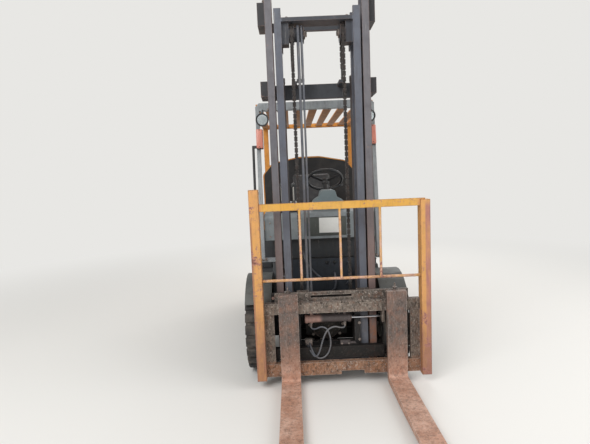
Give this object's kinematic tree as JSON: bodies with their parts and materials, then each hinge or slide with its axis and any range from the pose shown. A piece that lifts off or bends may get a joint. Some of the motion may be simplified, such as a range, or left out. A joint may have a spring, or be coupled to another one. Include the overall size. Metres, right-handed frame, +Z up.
{
  "type": "counterbalance forklift truck",
  "caption": "Counterbalance forklift truck with two-stage mast, side-shifting forks, load backrest, overhead guard and steered rear wheels.",
  "frame": {"origin": "middle of the bounding box on the floor, mast upright and forks lowered", "axes": "+Y runs from the fork tips to the counterweight, +Z up, +X to the driver's left"},
  "size_m": [1.268, 3.71, 2.6497],
  "materials": {
    "frame_paint": "worn satin",
    "cowl_paint": "worn satin",
    "guard_paint": "worn satin",
    "ballast_paint": "worn satin",
    "mast_steel": "worn, rusty edges",
    "stage_steel": "worn satin",
    "fork_steel": "rusty",
    "rest_paint": "worn, rusty",
    "cast_parts": "greasy",
    "cylinder_paint": "satin",
    "rod_chrome": "polished",
    "chain_steel": "oiled",
    "hose_rubber": "dusty",
    "tyre_rubber": "dusty",
    "rim_paint": "worn",
    "dark_plastic": "dull",
    "seat_vinyl": "dull vinyl",
    "lamp_metal": "dull",
    "indicator_plastic": "dusty"
  },
  "bodies": {
    "truck": {"chassis_frame": "frame_paint", "floor_plate": "frame_paint", "cowl": "cowl_paint", "cowl_base": "frame_paint", "steering_column": "dark_plastic", "levers": "dark_plastic", "pedals": "dark_plastic", "front_fenders": "cowl_paint", "engine_block": "cast_parts", "side_panels": "frame_paint", "counterweight": "ballast_paint", "guard_front": "cowl_paint", "guard_rear": "guard_paint", "rear_shroud": "guard_paint", "shroud_face": "dark_plastic", "headlamps": "lamp_metal", "indicators": "indicator_plastic", "drive_axle": "cast_parts", "steer_axle": "cast_parts", "hood_hinge": "mast_steel", "grab_handle": "dark_plastic"},
    "hood_lid": {"hood": "frame_paint", "seat_cushion": "seat_vinyl", "seat_back": "seat_vinyl"},
    "steering": {"steering_wheel": "dark_plastic"},
    "drive_wheel_left": {"drive_left_rim": "rim_paint", "drive_left_tyre": "tyre_rubber"},
    "drive_wheel_right": {"drive_right_rim": "rim_paint", "drive_right_tyre": "tyre_rubber"},
    "steer_knuckle_left": {"knuckle_left": "cast_parts"},
    "steer_knuckle_right": {"knuckle_right": "cast_parts"},
    "steer_wheel_left": {"steer_left_rim": "rim_paint", "steer_left_tyre": "tyre_rubber"},
    "steer_wheel_right": {"steer_right_rim": "rim_paint", "steer_right_tyre": "tyre_rubber"},
    "mast": {"outer_mast": "mast_steel", "lift_barrels": "cylinder_paint", "chain_anchors": "chain_steel"},
    "mast_stage": {"inner_mast": "stage_steel", "lift_rods": "rod_chrome", "chain_wraps": "chain_steel"},
    "carriage": {"lift_carriage": "fork_steel", "shift_barrel": "cylinder_paint", "lift_chains": "chain_steel", "lift_hoses": "hose_rubber"},
    "side_shifter": {"fork_frame": "fork_steel", "load_backrest": "rest_paint", "fork_left": "fork_steel", "fork_right": "fork_steel"},
    "tilt_barrel_left": {"tilt_barrel_left": "cylinder_paint"},
    "tilt_barrel_right": {"tilt_barrel_right": "cylinder_paint"},
    "tilt_rod_left": {"tilt_rod_left": "rod_chrome"},
    "tilt_rod_right": {"tilt_rod_right": "rod_chrome"}
  },
  "joints": [
    {"name": "drive_wheel_left_spin", "type": "hinge", "parent": "truck", "child": "drive_wheel_left", "pos_m": [0.436, -0.265, 0.34], "axis": [1, 0, 0], "continuous": true},
    {"name": "drive_wheel_right_spin", "type": "hinge", "parent": "truck", "child": "drive_wheel_right", "pos_m": [-0.544, -0.265, 0.34], "axis": [1, 0, 0], "continuous": true},
    {"name": "steer_left", "type": "hinge", "parent": "truck", "child": "steer_knuckle_left", "pos_m": [0.326, 1.335, 0.27], "axis": [0, 0, 1], "range_deg": [-65, 65]},
    {"name": "steer_right", "type": "hinge", "parent": "truck", "child": "steer_knuckle_right", "pos_m": [-0.434, 1.335, 0.27], "axis": [0, 0, 1], "range_deg": [-65, 65]},
    {"name": "steer_wheel_left_spin", "type": "hinge", "parent": "steer_knuckle_left", "child": "steer_wheel_left", "pos_m": [0.416, 1.335, 0.27], "axis": [1, 0, 0], "continuous": true},
    {"name": "steer_wheel_right_spin", "type": "hinge", "parent": "steer_knuckle_right", "child": "steer_wheel_right", "pos_m": [-0.524, 1.335, 0.27], "axis": [1, 0, 0], "continuous": true},
    {"name": "steering_wheel_spin", "type": "hinge", "parent": "truck", "child": "steering", "pos_m": [0.041, 0.505, 1.37], "axis": [0, 0.5755, 0.8178], "continuous": true},
    {"name": "mast_tilt", "type": "hinge", "parent": "truck", "child": "mast", "pos_m": [-0.054, -0.265, 0.34], "axis": [1, 0, 0], "range_deg": [-8, 5]},
    {"name": "mast_lift", "type": "slide", "parent": "mast", "child": "mast_stage", "axis": [0, 0, 1], "range_m": [0, 1.65]},
    {"name": "carriage_lift", "type": "slide", "parent": "mast_stage", "child": "carriage", "axis": [0, 0, 1], "range_m": [0, 1.65], "deforming": ["lift_chains", "lift_hoses"]},
    {"name": "side_shift", "type": "slide", "parent": "carriage", "child": "side_shifter", "axis": [1, 0, 0], "range_m": [-0.19, 0]},
    {"name": "hood_hinge_turn", "type": "hinge", "parent": "truck", "child": "hood_lid", "pos_m": [-0.054, 1.331, 1.045], "axis": [-1, 0, 0], "range_deg": [0, 40]},
    {"name": "tilt_barrel_left_swing", "type": "hinge", "parent": "truck", "child": "tilt_barrel_left", "pos_m": [0.256, 0.165, 0.59], "axis": [1, 0, 0], "range_deg": [-3, 3]},
    {"name": "tilt_rod_left_slide", "type": "slide", "parent": "tilt_barrel_left", "child": "tilt_rod_left", "axis": [0, -0.9823, 0.1871], "range_m": [-0.06, 0.04]},
    {"name": "tilt_barrel_right_swing", "type": "hinge", "parent": "truck", "child": "tilt_barrel_right", "pos_m": [-0.364, 0.165, 0.59], "axis": [1, 0, 0], "range_deg": [-3, 3]},
    {"name": "tilt_rod_right_slide", "type": "slide", "parent": "tilt_barrel_right", "child": "tilt_rod_right", "axis": [0, -0.9823, 0.1871], "range_m": [-0.06, 0.04]}
  ],
  "couplings": [
    {"joint": "steer_right", "follows": "steer_left", "ratio": 1},
    {"joint": "carriage_lift", "follows": "mast_lift", "ratio": 1},
    {"joint": "tilt_barrel_left_swing", "follows": "mast_tilt", "ratio": 0.2891},
    {"joint": "tilt_rod_left_slide", "follows": "mast_tilt", "m_per_rad": 0.328},
    {"joint": "tilt_barrel_right_swing", "follows": "mast_tilt", "ratio": 0.2891},
    {"joint": "tilt_rod_right_slide", "follows": "mast_tilt", "m_per_rad": 0.328}
  ]
}
